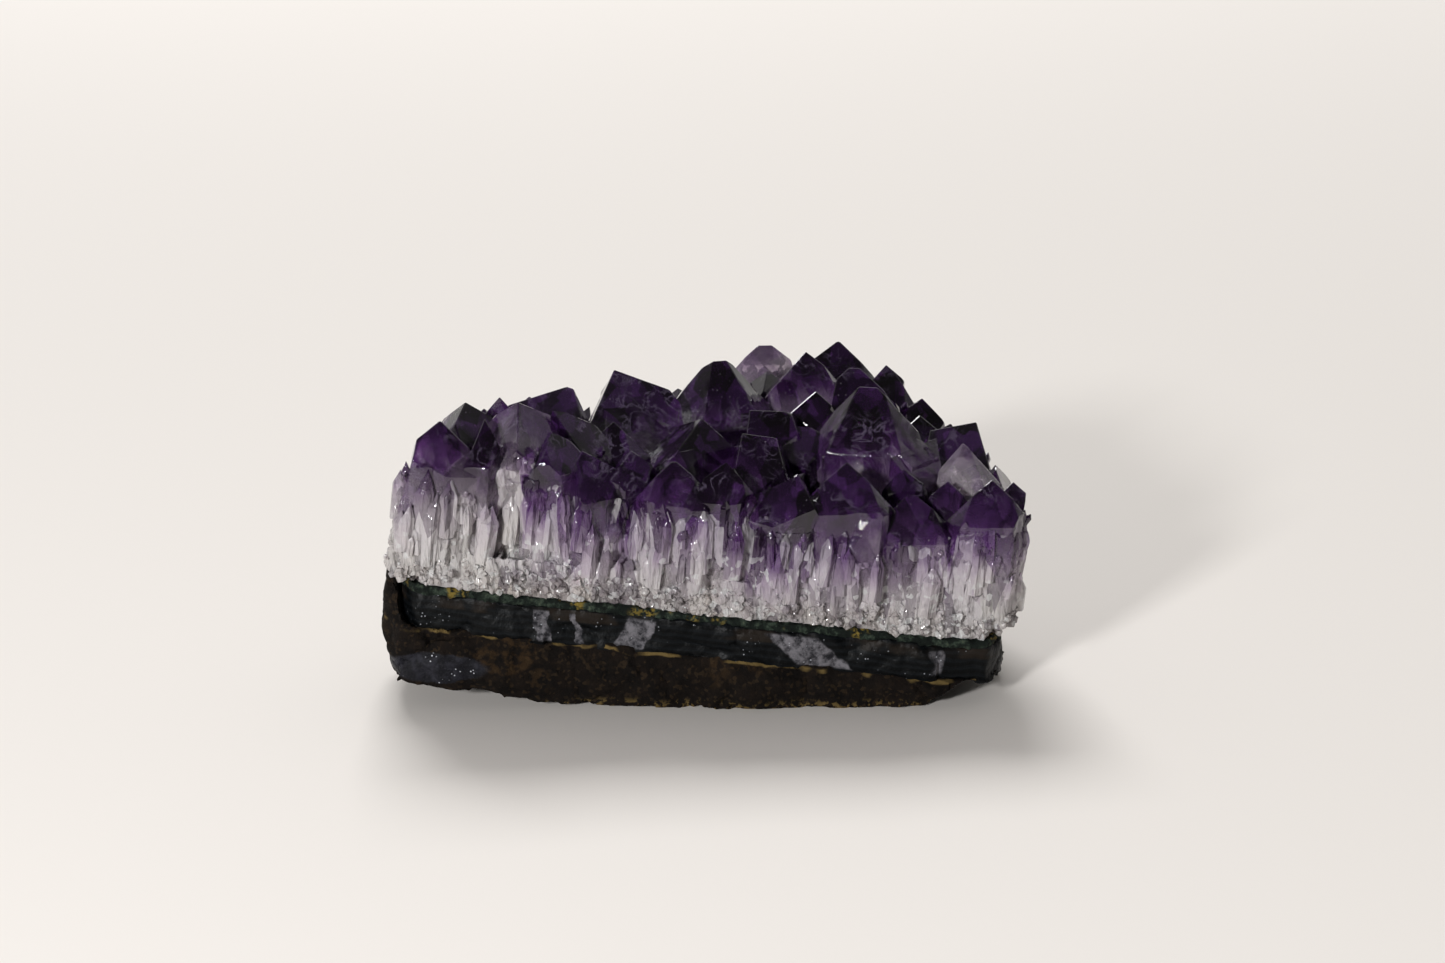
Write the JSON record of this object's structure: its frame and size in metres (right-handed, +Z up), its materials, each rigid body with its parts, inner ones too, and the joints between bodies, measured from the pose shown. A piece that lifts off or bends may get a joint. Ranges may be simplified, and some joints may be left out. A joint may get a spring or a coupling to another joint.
{
  "type": "amethyst cluster",
  "caption": "Natural amethyst cluster: purple quartz points on milky quartz, green celadonite, banded chalcedony and brown-black basalt.",
  "frame": {"origin": "under the middle of the whole block, on the plane it rests on", "axes": "+X along the long broken face, which looks along -Y; +Z up, the way the points grow"},
  "size_m": [0.102, 0.067, 0.0474],
  "materials": {
    "basalt": "matte",
    "chalcedony": "satin",
    "celadonite": "matte",
    "milky_quartz": "satin",
    "amethyst": "polished"
  },
  "bodies": {
    "root": {"back_point_01": "amethyst", "back_point_02": "amethyst", "back_point_03": "amethyst", "back_point_04": "amethyst", "back_point_05": "amethyst", "back_point_06": "amethyst", "back_point_07": "amethyst", "back_point_08": "amethyst", "back_point_09": "amethyst", "back_point_10": "amethyst", "back_point_11": "amethyst", "back_point_12": "amethyst", "back_point_13": "amethyst", "basalt_base": "basalt", "broken_point_left": "amethyst", "celadonite_seam": "celadonite", "chalcedony_band": "chalcedony", "clear_point_right": "amethyst", "dark_column": "amethyst", "dark_point_back_right": "amethyst", "dark_point_centre": "amethyst", "front_column_01": "amethyst", "front_column_02": "amethyst", "front_column_03": "amethyst", "front_column_04": "amethyst", "front_column_05": "amethyst", "front_column_06": "amethyst", "front_column_07": "amethyst", "front_column_08": "amethyst", "front_column_09": "amethyst", "front_column_10": "amethyst", "front_column_11": "amethyst", "great_point_centre": "amethyst", "great_point_left": "amethyst", "great_point_right": "amethyst", "grey_point_centre": "amethyst", "leaning_point_centre": "amethyst", "light_point_right": "amethyst", "milky_quartz_bed": "milky_quartz", "pale_point_back": "amethyst", "pale_point_left": "amethyst", "pale_point_small": "amethyst", "purple_point_back_01": "amethyst", "purple_point_back_02": "amethyst", "right_point_01": "amethyst", "right_point_02": "amethyst", "right_point_03": "amethyst", "shoulder_point_left": "amethyst", "slanted_point_01": "amethyst", "slanted_point_02": "amethyst", "slanted_point_03": "amethyst", "small_point_right": "amethyst", "steep_point_left_01": "amethyst", "steep_point_left_02": "amethyst", "striped_point": "amethyst", "tall_point_back_right": "amethyst", "tall_point_left": "amethyst"}
  },
  "joints": []
}
